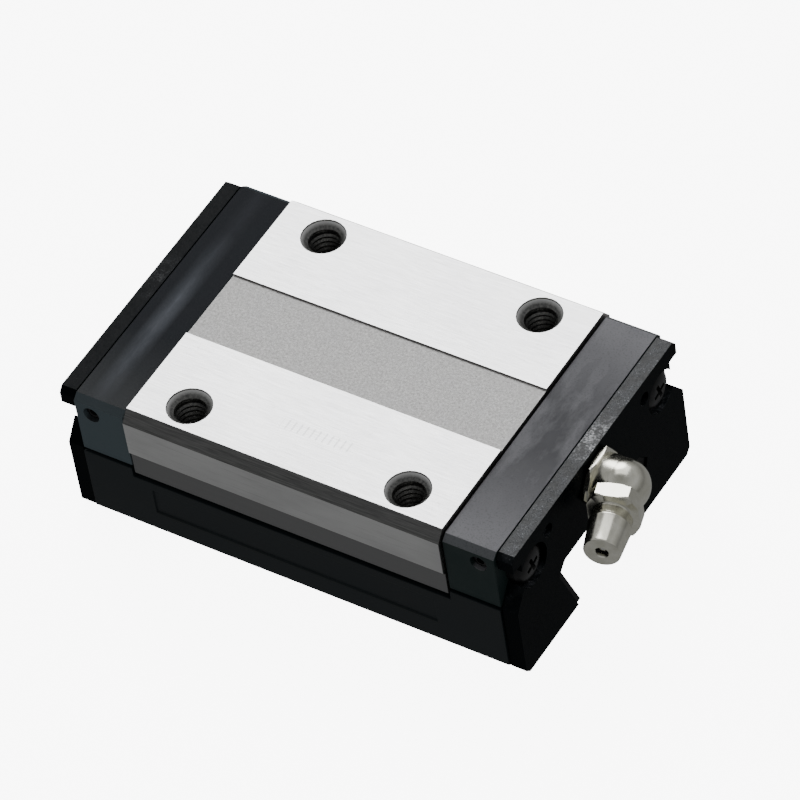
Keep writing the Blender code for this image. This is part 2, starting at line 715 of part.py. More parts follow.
def check_spring():
    """A round wire coil between the bore's step and the check ball."""
    coil_radius, wire, turns, steps = 0.75 * MM, 0.13 * MM, 5, 10
    start, end = 1.5 * MM, NOZZLE_LENGTH - 2.75 * MM
    axis = nozzle_axis()
    right = Vector((0, 0, 1)).cross(axis).normalized()
    up = axis.cross(right)
    rings = []
    for i in range(turns * steps + 1):
        angle = 2 * pi * i / steps
        outwards = right * cos(angle) + up * sin(angle)
        place = nozzle_place(NOZZLE_START + start + (end - start) * i / (turns * steps))
        rings.append(ring(place + outwards * coil_radius, outwards, axis, wire, 5))
    loft("nipple_spring", rings, "spring_steel")


def build():
    clear_scene()
    carriage_block()
    all_balls()
    for end in ENDS:
        end_cap(end)
        end_seal(end)
    for side in SIDES:
        side_skirt(side)
        bottom_seal(side)
    retainers()
    fasteners()
    nipple_gasket()
    nipple_elbow()
    nipple_nozzle()
    check_ball()
    check_spring()


build()
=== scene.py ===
"""Looks of a linear guide carriage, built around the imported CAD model. Metres, Z up.

Steel, resin and rubber pieces whose CAD shape is right keep it, and get rounded edges and their own
finish. Balls, screws, threads and the grease nipple are made again as fine, smooth pieces.
"""

from math import cos, pi, radians, sin

import bmesh
import bpy
from mathutils import Matrix, Vector


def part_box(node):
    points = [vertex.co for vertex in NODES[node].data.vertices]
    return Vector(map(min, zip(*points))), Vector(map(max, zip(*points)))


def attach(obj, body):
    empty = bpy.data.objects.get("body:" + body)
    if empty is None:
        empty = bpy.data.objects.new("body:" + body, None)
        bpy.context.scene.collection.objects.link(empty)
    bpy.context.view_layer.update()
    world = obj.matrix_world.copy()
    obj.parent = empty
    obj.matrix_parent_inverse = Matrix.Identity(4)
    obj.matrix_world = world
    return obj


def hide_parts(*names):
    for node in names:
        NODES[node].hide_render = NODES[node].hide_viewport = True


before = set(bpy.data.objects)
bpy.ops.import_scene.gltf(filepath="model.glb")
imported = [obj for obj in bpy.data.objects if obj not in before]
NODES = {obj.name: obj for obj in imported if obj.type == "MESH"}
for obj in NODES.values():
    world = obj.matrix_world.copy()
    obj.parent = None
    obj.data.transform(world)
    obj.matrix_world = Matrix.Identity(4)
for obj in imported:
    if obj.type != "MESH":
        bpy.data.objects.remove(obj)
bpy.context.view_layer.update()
MM = 0.001
SIDES = {"left": 1.0, "right": -1.0}
ENDS = {"front": 1.0, "rear": -1.0}
ALONG = Vector((1, 0, 0))
UP = Vector((0, 0, 1))

# Places, read from the frame
BLOCK_LOW, BLOCK_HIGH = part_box("carriage_block")
BODY_X = (BLOCK_LOW.x + BLOCK_HIGH.x) / 2
TOP = BLOCK_HIGH.z
SEAL_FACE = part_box("front_seal_plate")[1].x
MIDDLE = Vector((BODY_X, 0, 0))

# Camera: a long lens, looking down on the near front corner, slightly rolled
LENS = 287.4
CAMERA_AZIMUTH = radians(38.44)
CAMERA_ELEVATION = radians(47.34)
CAMERA_ROLL = radians(9.79)
CAMERA_DISTANCE = 796.4 * MM
AIM = MIDDLE + Vector((5.28, -1.07, -3.80)) * MM + Vector((0, 0, TOP))

# Studio: the surround's light by height of direction, -1 straight down to 1 straight up, and a
# bright panel in it, whose edge fades between two cosines
SKY_STOPS = ((-0.2, 0.24), (0.0, 0.16), (0.37, 0.32), (0.55, 0.42), (0.75, 0.34), (1.0, 0.24))
PANEL_DIRECTION = (-0.469, 0.591, 0.656)
PANEL_LIGHT = 4.4
PANEL_EDGE = (0.93, 0.975)
OVERHEAD_AZIMUTH = radians(200)
OVERHEAD_ELEVATION = radians(62)
OVERHEAD_DISTANCE = 0.6
OVERHEAD_SIZE = 0.5
OVERHEAD_POWER = 1.0
FLOOR_HALF_SIZE = 1.5
FLOOR_LIGHT = 8.0
FLOOR_GAP = 0.05 * MM

# Steel block details
HOLE_SPACING = 32.0 * MM
HOLE_RADIUS = 2.1 * MM
HOLE_DEPTH = 8.0 * MM
THREAD_PITCH = 0.8 * MM
THREAD_HEIGHT = 0.24 * MM
THREAD_START = 1.0 * MM
TICK_SPACING = 0.9 * MM
TICK_ROW_X = BODY_X + 1.0 * MM
TICK_ROW_Y = -13.3 * MM
SHOULDER_Z = TOP - 7.2 * MM
REAR_CAP_X = BODY_X - 27.6 * MM

# Balls and circuits, as in the CAD model
BALL_RADIUS = 1.5875 * MM
BALL_PITCH = 3.4 * MM
BALLS_PER_ROW = 14
BALLS_PER_TURN = 3
TURN_RADIUS = BALLS_PER_TURN * BALL_PITCH / pi
TURN_X = BALLS_PER_ROW * BALL_PITCH / 2
UPPER_ROW = (7.6 * MM, 10.4 * MM)
LOWER_ROW = (9.6 * MM, 4.9 * MM)
BELT_RADIUS = 0.74 * BALL_RADIUS
BELT_WEB = ((-0.114, 0.95), (0.0, 0.62), (0.114, 0.95))

# End screws, as in the CAD model
SCREW_HEAD_HEIGHT = 2.1 * MM
SCREW_HEAD_RADIUS = 2.75 * MM
SCREW_SHANK_RADIUS = 1.45 * MM
SCREW_RIM = 1.05 * MM
CROSS_TILT = radians(17)

# Nipple, as in the CAD model
NIPPLE_Y = -0.2 * MM
NIPPLE_Z = 16.6 * MM
NIPPLE_FLATS = 7.3 * MM
NOZZLE_HALF_WIDTH = 3.3 * MM
ELBOW_CORNER = 3.72 * MM
ELBOW_CORNER_RADIUS = 3.5 * MM
ELBOW_LEG_RADIUS = 3.4 * MM
ELBOW_MOUTH_RADIUS = 2.7 * MM
ELBOW_BORE_RADIUS = 1.1 * MM
NOZZLE_ANGLE = radians(74.0)
NOZZLE_START = 2.9 * MM
NOZZLE_LENGTH = 8.15 * MM
NOZZLE_AXIS = Vector((cos(NOZZLE_ANGLE), -sin(NOZZLE_ANGLE), 0))
ELBOW_CENTRE = Vector((SEAL_FACE + ELBOW_CORNER, NIPPLE_Y, NIPPLE_Z))
CHECK_BALL_RADIUS = 0.9 * MM


# Material building


class Finish:
    """A Principled material, with short calls for the procedural detail on it."""

    def __init__(self, name, colour, roughness, metallic=0.0):
        self.material = bpy.data.materials.new(name)
        self.material.use_nodes = True
        self.tree = self.material.node_tree
        self.shader = self.tree.nodes["Principled BSDF"]
        self.set("Base Color", (*colour, 1.0))
        self.set("Roughness", roughness)
        self.set("Metallic", metallic)
        self.place = self.node("ShaderNodeTexCoord").outputs["Object"]

    def feed(self, node, socket, value):
        """Links a node's output to a socket, or sets the socket to a number or colour."""
        if isinstance(value, bpy.types.NodeSocket):
            self.tree.links.new(value, node.inputs[socket])
        else:
            node.inputs[socket].default_value = value

    def set(self, socket, value):
        self.feed(self.shader, socket, value)

    def node(self, kind, **inputs):
        """A new node. Its inputs are given by name, with _ for a space."""
        made = self.tree.nodes.new(kind)
        for name, value in inputs.items():
            self.feed(made, name.replace("_", " "), value)
        return made

    def stretched(self, x, y, z):
        """Object coordinates scaled per axis, so a pattern can be drawn out along one of them."""
        return self.node("ShaderNodeMapping", Vector=self.place, Scale=(x, y, z)).outputs["Vector"]

    def noise(self, grain, detail=3.0, roughness=0.5, stretch=(1, 1, 1)):
        """Noise with features about one grain across, in metres."""
        scale = [s / grain for s in stretch]
        made = self.node("ShaderNodeTexNoise", Vector=self.stretched(*scale), Scale=1.0)
        made.inputs["Detail"].default_value = detail
        made.inputs["Roughness"].default_value = roughness
        return made.outputs["Fac"]

    def range(self, value, low, high, start=0.0, stop=1.0):
        """Maps low..high of a value to start..stop, held at both ends."""
        limits = {"From_Min": low, "From_Max": high, "To_Min": start, "To_Max": stop}
        return self.node("ShaderNodeMapRange", Value=value, **limits).outputs["Result"]

    def math(self, operation, a, b=0.0):
        made = self.node("ShaderNodeMath")
        made.operation = operation
        self.feed(made, 0, a)
        self.feed(made, 1, b)
        return made.outputs[0]

    def blend(self, amount, a, b):
        """A colour from a to b."""
        made = self.node("ShaderNodeMix")
        made.data_type = "RGBA"
        self.feed(made, 0, amount)
        for socket, colour in ((6, a), (7, b)):
            if isinstance(colour, tuple) and len(colour) == 3:
                colour = (*colour, 1.0)
            self.feed(made, socket, colour)
        return made.outputs[2]

    def axis(self, letter):
        return self.node("ShaderNodeSeparateXYZ", Vector=self.place).outputs[letter]

    def off(self, value, centre):
        """How far a value is from a centre, either way."""
        return self.math("ABSOLUTE", self.math("SUBTRACT", value, centre))

    def band(self, letter, centre, half_width, soft):
        """1 inside a band of object space, 0 outside."""
        away = self.off(self.axis(letter), centre)
        return self.range(away, half_width - soft, half_width + soft, 1.0, 0.0)

    def upward(self):
        """1 on faces that look up, 0 on the others."""
        normal = self.node("ShaderNodeNewGeometry").outputs["Normal"]
        up = self.node("ShaderNodeSeparateXYZ", Vector=normal).outputs["Z"]
        return self.range(up, 0.55, 0.9)

    def both(self, *masks):
        """The product of several masks."""
        product = masks[0]
        for mask in masks[1:]:
            product = self.math("MULTIPLY", product, mask)
        return product

    def edge_wear(self, radius):
        """1 near sharp outer edges, from the shape itself."""
        made = self.node("ShaderNodeBevel", Radius=radius)
        made.samples = 4
        normal = self.node("ShaderNodeNewGeometry").outputs["Normal"]
        dot = self.node("ShaderNodeVectorMath")
        dot.operation = "DOT_PRODUCT"
        self.tree.links.new(made.outputs["Normal"], dot.inputs[0])
        self.tree.links.new(normal, dot.inputs[1])
        return self.range(dot.outputs["Value"], 0.92, 0.999, 1.0, 0.0)

    def bump(self, height, depth):
        """Relief of a height pattern, depth in metres."""
        last = self.shader.inputs["Normal"]
        made = self.node("ShaderNodeBump", Height=height, Strength=1.0, Distance=depth)
        if last.is_linked:
            self.tree.links.new(last.links[0].from_socket, made.inputs["Normal"])
        self.tree.links.new(made.outputs["Normal"], last)
        return self


def ground_steel():
    """Surface-ground pads: near white, with fine grinding lines and a short row of index ticks."""
    f = Finish("ground_steel_pad", (0.86, 0.855, 0.84), 0.36, 1.0)
    lines = f.noise(0.06 * MM, 3.0, 0.6, (0.02, 1, 1))
    cloud = f.noise(9 * MM, 3.0, 0.5)
    tone = f.blend(f.range(cloud, 0.35, 0.65), (0.80, 0.80, 0.81), (0.86, 0.86, 0.865))
    tone = f.blend(f.range(lines, 0.62, 0.74, 0.0, 0.35), tone, (0.66, 0.66, 0.66))
    specks = f.range(f.noise(0.7 * MM, 2.0, 0.5), 0.70, 0.76, 0.0, 0.35)
    tone = f.blend(specks, tone, (0.60, 0.59, 0.57))
    beat = f.math("FRACT", f.math("DIVIDE", f.axis("X"), TICK_SPACING))
    ticks = f.range(f.off(beat, 0.5), 0.10, 0.16, 1.0, 0.0)
    along = f.band("X", TICK_ROW_X, 5.0 * MM, 0.02 * MM)
    across = f.band("Y", TICK_ROW_Y, 0.8 * MM, 0.03 * MM)
    f.set("Base Color", f.blend(f.both(ticks, along, across, 0.55), tone, (0.42, 0.42, 0.43)))
    f.set("Roughness", f.range(lines, 0.3, 0.7, 0.30, 0.44))
    return f.bump(lines, 0.004 * MM).material


def blasted_steel():
    """The strip between the pads: unground, matte and mottled."""
    f = Finish("blasted_steel_strip", (0.40, 0.39, 0.375), 0.55, 1.0)
    grain = f.noise(0.32 * MM, 6.0, 0.68)
    cloud = f.noise(3.5 * MM, 4.0, 0.6)
    tone = f.blend(f.range(grain, 0.34, 0.66), (0.24, 0.24, 0.24), (0.34, 0.335, 0.33))
    f.set("Base Color", f.blend(f.range(cloud, 0.35, 0.7, 0.0, 0.45), tone, (0.30, 0.295, 0.285)))
    f.set("Roughness", f.range(grain, 0.35, 0.65, 0.42, 0.62))
    return f.bump(grain, 0.012 * MM).material


def chamfer_steel():
    """Rough-ground chamfer along the top edges: darker, with coarse lines."""
    f = Finish("chamfer_steel", (0.24, 0.23, 0.22), 0.38, 1.0)
    lines = f.noise(0.12 * MM, 4.0, 0.65, (0.03, 1, 1))
    tone = f.blend(f.range(lines, 0.35, 0.65), (0.11, 0.11, 0.11), (0.22, 0.22, 0.215))
    f.set("Base Color", tone)
    f.set("Roughness", f.range(lines, 0.3, 0.7, 0.30, 0.44))
    return f.bump(lines, 0.008 * MM).material


def side_steel():
    """Long side faces: ground datum band above, milled shoulder below."""
    f = Finish("side_steel", (0.58, 0.58, 0.55), 0.36, 1.0)
    lines = f.noise(0.08 * MM, 3.0, 0.6, (0.015, 1, 1))
    cloud = f.noise(6 * MM, 3.0, 0.5, (0.5, 1, 1))
    tone = f.blend(f.range(cloud, 0.35, 0.65), (0.56, 0.56, 0.555), (0.68, 0.68, 0.67))
    low = f.range(f.axis("Z"), SHOULDER_Z - 0.15 * MM, SHOULDER_Z + 0.15 * MM, 1.0, 0.0)
    tone = f.blend(low, tone, (0.22, 0.22, 0.22))
    f.set("Base Color", f.blend(f.range(lines, 0.58, 0.75, 0.0, 0.4), tone, (0.30, 0.30, 0.29)))
    f.set("Roughness", f.range(lines, 0.3, 0.7, 0.30, 0.46))
    return f.bump(lines, 0.006 * MM).material


def machined_steel():
    """End faces, underside and channel."""
    f = Finish("machined_steel", (0.46, 0.455, 0.44), 0.36, 1.0)
    marks = f.noise(0.25 * MM, 4.0, 0.6)
    tone = f.blend(f.range(marks, 0.35, 0.65), (0.38, 0.375, 0.36), (0.54, 0.53, 0.51))
    f.set("Base Color", tone)
    f.set("Roughness", f.range(marks, 0.3, 0.7, 0.3, 0.46))
    return f.bump(marks, 0.008 * MM).material


def resin(name, colour, roughness, gloss):
    """Moulded resin with a fine spark-eroded grain and a faint bloom."""
    f = Finish(name, colour, roughness)
    cloud = f.noise(7 * MM, 4.0, 0.55)
    paler = tuple(c * 1.6 + 0.003 for c in colour)
    f.set("Base Color", f.blend(f.range(cloud, 0.4, 0.72, 0.0, 0.6), colour, paler))
    f.set("Roughness", f.range(cloud, 0.3, 0.7, roughness - 0.05, roughness + 0.07))
    f.set("Specular IOR Level", gloss)
    return f.bump(f.noise(0.09 * MM, 3.0, 0.6), 0.005 * MM).material


def rear_cap_resin():
    """Cap resin with painted light in its colour: a soft pale painted highlight along the middle of
    its top, a painted sheen towards the near side, and sides painted lighter than the top.
    """
    f = Finish("rear_cap_resin", (0.02, 0.023, 0.026), 0.42)
    cloud = f.noise(5 * MM, 4.0, 0.55)
    smear = f.noise(2.2 * MM, 4.0, 0.6, (1, 0.25, 1))
    # Painted highlight: a soft pale band along the middle of the top, uneven, fading along Y.
    uneven = f.range(smear, 0.25, 0.65, 0.3, 1.0)
    painted_highlight_streak = f.both(f.upward(), f.band("X", REAR_CAP_X, 0.8 * MM, 1.0 * MM), uneven)
    reach = f.range(f.off(f.axis("Y"), -5 * MM), 4 * MM, 17 * MM, 1.0, 0.12)
    # Painted sheen: the top grows lighter towards the near side.
    near = f.range(f.axis("Y"), -19 * MM, -7 * MM, 0.7, 0.0)
    top = f.blend(f.range(cloud, 0.38, 0.66), (0.004, 0.006, 0.010), (0.012, 0.015, 0.019))
    top = f.blend(near, top, (0.050, 0.053, 0.055))
    # Painted light: faces that don't look up get a lighter colour than the top.
    tone = f.blend(f.upward(), (0.105, 0.135, 0.15), top)
    f.set("Base Color", f.blend(f.both(painted_highlight_streak, reach), tone, (0.105, 0.115, 0.135)))
    f.set("Roughness", f.range(cloud, 0.3, 0.7, 0.38, 0.50))
    f.set("Specular IOR Level", 0.05)
    return f.bump(f.noise(0.09 * MM, 3.0, 0.6), 0.005 * MM).material


def front_cap_resin():
    """Cap resin whose top carries a painted grey sheen, lighter towards both ends and darker in
    places.
    """
    f = Finish("front_cap_resin", (0.02, 0.023, 0.026), 0.45)
    smear = f.noise(3.5 * MM, 4.0, 0.6, (1, 0.4, 1))
    grain = f.noise(0.22 * MM, 4.0, 0.6)
    # Painted sheen: the top is lighter towards both ends across the cap, and patchy where the noise
    # says.
    ends = f.range(f.math("ABSOLUTE", f.axis("Y")), 3 * MM, 18 * MM, 0.0, 0.8)
    painted_sheen_amount = f.math("MAXIMUM", ends, f.range(smear, 0.4, 0.62, 0.0, 0.6))
    painted_top_sheen = f.blend(painted_sheen_amount, (0.050, 0.051, 0.058), (0.22, 0.22, 0.235))
    painted_top_sheen = f.blend(f.range(grain, 0.52, 0.68, 0.0, 0.35), painted_top_sheen, (0.05, 0.052, 0.057))
    # Painted light: only faces that look up take the pale sheen; the others stay near black.
    f.set("Base Color", f.blend(f.upward(), (0.020, 0.034, 0.033), painted_top_sheen))
    f.set("Roughness", f.range(smear, 0.3, 0.7, 0.42, 0.55))
    f.set("Specular IOR Level", 0.15)
    return f.bump(grain, 0.006 * MM).material


def greasy_resin(name, heavy):
    """Seal carrier: dark resin, with an uneven film of grease on its top strip, and a near-white
    painted highlight on the grease next to the nipple.
    """
    f = Finish(name, (0.003, 0.004, 0.005), 0.34)
    blot = f.noise(1.3 * MM, 4.0, 0.65)
    fine = f.noise(0.30 * MM, 5.0, 0.75)
    film = f.both(f.upward(), f.range(blot, 0.42, 0.60, 0.12, 1.0), heavy)
    tone = f.blend(film, (0.0015, 0.003, 0.004), (0.050, 0.054, 0.060))
    near_nipple = f.range(f.off(f.axis("Y"), 1.5 * MM), 0.8 * MM, 4.5 * MM, 1.0, 0.0)
    specks = f.both(film, f.range(fine, 0.57, 0.66))
    tone = f.blend(specks, tone, (0.34, 0.35, 0.37))
    # Painted highlight: near-white on the grease film next to the nipple.
    grease_dab_and_painted_highlight = f.both(film, near_nipple, f.range(fine, 0.46, 0.56))
    f.set("Base Color", f.blend(grease_dab_and_painted_highlight, tone, (0.72, 0.73, 0.75)))
    f.set("Roughness", f.range(fine, 0.35, 0.7, 0.18, 0.5))
    f.set("Specular IOR Level", f.range(f.both(f.upward(), heavy), 0.0, 1.0, 0.02, 0.2))
    return f.bump(f.math("MULTIPLY", fine, film), 0.05 * MM).material


def hole_steel():
    """Bores and threads, with painted shade: dark down the bore, and left bright only on a ring at
    the top of the countersink.
    """
    f = Finish("hole_steel", (0.16, 0.16, 0.155), 0.4, 1.0)
    marks = f.noise(0.3 * MM, 4.0, 0.6)
    # Painted shade: the bore is given a dark colour.
    tone = f.blend(f.range(marks, 0.35, 0.65), (0.10, 0.10, 0.10), (0.22, 0.22, 0.21))
    # The ring at the top of the countersink is left bright, above the painted shade.
    rim_above_painted_shade = f.range(f.axis("Z"), TOP - 0.62 * MM, TOP - 0.30 * MM)
    f.set("Base Color", f.blend(rim_above_painted_shade, tone, (0.62, 0.62, 0.61)))
    return f.bump(marks, 0.006 * MM).material


def rubber():
    """Seal lips and strips: dull black, very finely mottled."""
    f = Finish("nitrile_rubber", (0.004, 0.004, 0.0045), 0.62)
    fine = f.noise(0.12 * MM, 4.0, 0.6)
    f.set("Roughness", f.range(fine, 0.3, 0.7, 0.5, 0.74))
    tone = f.blend(f.range(fine, 0.4, 0.7), (0.004, 0.004, 0.0045), (0.010, 0.010, 0.011))
    f.set("Base Color", tone)
    f.set("Specular IOR Level", 0.25)
    return f.bump(fine, 0.01 * MM).material


def black_oxide():
    """Blackened screws, rubbed to grey along their edges."""
    f = Finish("black_oxide_screw", (0.012, 0.012, 0.013), 0.36, 0.6)
    wear = f.edge_wear(0.12 * MM)
    blot = f.noise(0.9 * MM, 4.0, 0.6)
    tone = f.blend(f.range(blot, 0.4, 0.7), (0.010, 0.010, 0.011), (0.026, 0.025, 0.025))
    f.set("Base Color", f.blend(f.math("MULTIPLY", wear, 0.5), tone, (0.16, 0.155, 0.15)))
    f.set("Roughness", f.range(blot, 0.35, 0.65, 0.26, 0.42))
    return f.bump(f.noise(0.2 * MM), 0.004 * MM).material


def ball_steel():
    """Polished balls under a thin, patchy oil film."""
    f = Finish("ball_steel", (0.70, 0.70, 0.71), 0.08, 1.0)
    film = f.noise(0.8 * MM, 3.0, 0.5)
    f.set("Roughness", f.range(film, 0.35, 0.7, 0.05, 0.16))
    tone = f.blend(f.range(film, 0.4, 0.8), (0.72, 0.72, 0.73), (0.60, 0.585, 0.55))
    f.set("Base Color", tone)
    return f.material


def cage_resin():
    """Amber resin of the belts that keep the balls apart."""
    f = Finish("cage_belt_resin", (0.10, 0.075, 0.04), 0.42)
    cloud = f.noise(1.0 * MM, 3.0)
    tone = f.blend(f.range(cloud, 0.35, 0.7), (0.09, 0.07, 0.04), (0.16, 0.12, 0.07))
    f.set("Base Color", tone)
    return f.bump(f.noise(0.15 * MM), 0.006 * MM).material


def nickel():
    """Satin nickel plate: warm grey, slightly cloudy, with tiny pits."""
    f = Finish("nickel_plate", (0.60, 0.585, 0.54), 0.24, 1.0)
    cloud = f.noise(1.8 * MM, 4.0, 0.6)
    pits = f.noise(0.16 * MM, 3.0, 0.6)
    tone = f.blend(f.range(cloud, 0.35, 0.68), (0.74, 0.725, 0.62), (0.90, 0.885, 0.79))
    tone = f.blend(f.range(pits, 0.68, 0.78, 0.0, 0.45), tone, (0.45, 0.44, 0.41))
    f.set("Base Color", tone)
    f.set("Roughness", f.range(cloud, 0.3, 0.7, 0.15, 0.26))
    return f.bump(pits, 0.003 * MM).material


def spring_wire():
    """Drawn wire of the check valve's spring."""
    f = Finish("spring_wire", (0.42, 0.42, 0.43), 0.3, 1.0)
    f.set("Roughness", f.range(f.noise(0.2 * MM), 0.3, 0.7, 0.24, 0.4))
    return f.material


# Mesh building


def object_from(name, bm, material, sharp=35.0):
    """An object of a finished bmesh, smooth but for its edges sharper than the given angle."""
    bmesh.ops.recalc_face_normals(bm, faces=bm.faces)
    mesh = bpy.data.meshes.new(name)
    bm.to_mesh(mesh)
    bm.free()
    mesh.materials.append(material)
    mesh.shade_smooth()
    mesh.set_sharp_from_angle(angle=radians(sharp))
    thing = bpy.data.objects.new(name, mesh)
    bpy.context.scene.collection.objects.link(thing)
    return thing


def ring(centre, right, up, radius, sides, flats=None, corner=None):
    """A circle of points. With flats, it is a hexagon whose corners are turned to that radius, and
    whose two corners along `right` are cut back to the corner reach."""
    points = []
    for i in range(sides):
        angle = 2 * pi * i / sides
        reach = radius
        if flats:
            flat = flats / cos((angle % (pi / 3)) - pi / 6)
            reach = min(radius, flat, corner / max(abs(cos(angle)), 0.01))
        points.append(centre + right * (reach * cos(angle)) + up * (reach * sin(angle)))
    return points


def bridge(bm, loops, wrap=False):
    """Skins rings of points in order, into bm, and closes the ends. With wrap, the last ring joins
    the first again instead."""
    rings = [[bm.verts.new(p) for p in loop] for loop in loops]
    count = len(rings[0])
    pairs = list(zip(rings, rings[1:]))
    if wrap:
        pairs.append((rings[-1], rings[0]))
    for a, b in pairs:
        for i in range(count):
            j = (i + 1) % count
            bm.faces.new((a[i], a[j], b[j], b[i]))
    if not wrap:
        bm.faces.new(rings[0])
        bm.faces.new(rings[-1])


def turned(name, origin, axis, profile, sides, material, wrap=False):
    """A turned piece from (distance, radius) steps, with flats and corner reach for a hexagon."""
    right = UP.cross(axis).normalized()
    up = axis.cross(right)
    loops = []
    for step in profile:
        loops.append(ring(origin + axis * step[0], right, up, step[1], sides, *step[2:]))
    bm = bmesh.new()
    bridge(bm, loops, wrap=wrap)
    return object_from(name, bm, material)


def arc(centre, radius, start, stop, steps):
    """Points (distance, radius) of a round shoulder on a turned profile, angles in degrees."""
    points = []
    for i in range(steps + 1):
        angle = radians(start + (stop - start) * i / steps)
        points.append((centre[0] + radius * sin(angle), centre[1] + radius * cos(angle)))
    return points


def ball(bm, centre, radius, segments, rings):
    """Adds a sphere to bm."""
    bmesh.ops.create_uvsphere(
        bm, u_segments=segments, v_segments=rings, radius=radius, matrix=Matrix.Translation(centre)
    )


def place_node(thing, body, node):
    """Sets a fine piece's body, and lets it stand for its CAD node."""
    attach(thing, body)
    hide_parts(node)


def round_edges(thing, width, angle=28.0, merge=True):
    """Rounds a CAD node's edges with modifiers: its own mesh stays as it is."""
    weld = thing.modifiers.new("weld", "WELD")
    weld.merge_threshold = 0.001 * MM
    if merge:
        flat = thing.modifiers.new("merge_flats", "DECIMATE")
        flat.decimate_type = "DISSOLVE"
        flat.angle_limit = radians(0.4)
    bevel = thing.modifiers.new("round_edges", "BEVEL")
    bevel.width = width
    bevel.segments = 2
    bevel.limit_method = "ANGLE"
    bevel.angle_limit = radians(angle)
    thing.data.shade_smooth()
    even = thing.modifiers.new("flat_faces_stay_flat", "WEIGHTED_NORMAL")
    even.weight = 100


def finish_node(name, material, width=0.15 * MM, angle=28.0, merge=True):
    """A CAD node that keeps its shape: one material and rounded edges."""
    node = NODES[name]
    node.data.materials.clear()
    node.data.materials.append(material)
    round_edges(node, width, angle, merge)


# The steel block


def dress_block():
    """Gives each face of the block the finish that its machining leaves. The way a face looks, its
    depth under the pads and its distance from the middle plane tell which it is."""
    block = NODES["carriage_block"]
    makers = (ground_steel, blasted_steel, chamfer_steel, side_steel, machined_steel, hole_steel)
    block.data.materials.clear()
    for maker in makers:
        block.data.materials.append(maker())
    pad, strip, chamfer, side, rest, hole = range(6)
    for face in block.data.polygons:
        normal = face.normal
        across, depth = abs(face.center.y), TOP - face.center.z
        if normal.z > 0.99 and depth < 0.05 * MM:
            kind = pad
        elif normal.z > 0.99 and depth < 0.5 * MM:
            kind = strip
        elif abs(normal.y) > 0.3 and normal.z > 0.3 and depth < 2.5 * MM and across > 19 * MM:
            kind = chamfer
        elif abs(normal.y) > 0.6 and across > 20 * MM:
            kind = side
        elif (
            13 * MM < across < 18.7 * MM
            and 0.35 * MM < depth < 9.5 * MM
            and abs(normal.x) < 0.99
        ):
            kind = hole
        else:
            kind = rest
        face.material_index = kind
    round_edges(block, 0.12 * MM)


def hole_threads(material):
    """Internal thread ridges standing in from the wall of each tapped hole."""
    steps = 40
    turns = (HOLE_DEPTH - 0.6 * MM - THREAD_START) / THREAD_PITCH
    wall = HOLE_RADIUS + 0.02 * MM
    half, land = THREAD_PITCH * 0.46, THREAD_PITCH * 0.07
    reach = HOLE_SPACING / 2
    for end, e in ENDS.items():
        for side, s in SIDES.items():
            centre = MIDDLE + Vector((e * reach, s * reach, TOP - THREAD_START))
            loops = []
            for i in range(int(turns * steps) + 1):
                angle = 2 * pi * i / steps
                out = Vector((cos(angle), sin(angle), 0))
                drop = Vector((0, 0, -THREAD_PITCH * i / steps))
                tip = wall - THREAD_HEIGHT * min(1.0, i / steps)
                shape = ((wall, half), (tip, land), (tip, -land), (wall, -half))
                loops.append([centre + drop + out * r + Vector((0, 0, z)) for r, z in shape])
            bm = bmesh.new()
            bridge(bm, loops)
            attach(object_from(f"{end}_{side}_hole_thread", bm, material), "root")


# Balls and their cage belts


def circuits():
    """Each circuit's loaded row, and the direction from it to its return row."""
    found = {}
    for side, s in SIDES.items():
        (upper_y, upper_z), (lower_y, lower_z) = UPPER_ROW, LOWER_ROW
        found["upper_" + side] = (Vector((BODY_X, s * upper_y, upper_z)), UP)
        found["lower_" + side] = (Vector((BODY_X, s * lower_y, lower_z)), Vector((0, s, 0)))
    return found


def path_point(row, across, stage, s):
    """Centre and outward normal on a circuit, s along the stage."""
    if stage == "load":
        return row + ALONG * (s - TURN_X), -across
    if stage == "return":
        return row + ALONG * (TURN_X - s) + across * 2 * TURN_RADIUS, across
    end = 1 if stage == "front_turn" else -1
    centre = row + across * TURN_RADIUS + ALONG * (end * TURN_X)
    angle = s / TURN_RADIUS - end * pi / 2
    normal = ALONG * cos(angle) + across * sin(angle)
    return centre + normal * TURN_RADIUS, normal


def ball_stage(name, node, body, row, across, stage, count, steel, resin_cage):
    """Polished balls, and the belt whose webs stand between them."""
    bm = bmesh.new()
    binormal = ALONG.cross(across)
    for i in range(count):
        ball(bm, path_point(row, across, stage, (i + 0.5) * BALL_PITCH)[0], BALL_RADIUS, 28, 16)
    place_node(object_from(name + "_spheres", bm, steel, 60), body, node)
    belt = bmesh.new()
    for i in range(count - 1):
        loops = []
        for offset, size in BELT_WEB:
            centre, normal = path_point(row, across, stage, (i + 1 + offset) * BALL_PITCH)
            loops.append(ring(centre, normal, binormal, size * BELT_RADIUS, 20))
        bridge(belt, loops)
    cage = object_from(name + "_cage", belt, resin_cage)
    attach(cage, body)


def balls():
    """Two straight rows and two turns for each of the four circuits."""
    steel, resin_cage = ball_steel(), cage_resin()
    stages = {
        "load": (BALLS_PER_ROW, "_row"),
        "return": (BALLS_PER_ROW, "_row"),
        "front_turn": (BALLS_PER_TURN, ""),
        "rear_turn": (BALLS_PER_TURN, ""),
    }
    for circuit, (row, across) in circuits().items():
        for stage, (count, ending) in stages.items():
            name = f"{circuit}_{stage}"
            node, body = name + "_balls", name + ending
            ball_stage(name, node, body, row, across, stage, count, steel, resin_cage)


# Fasteners


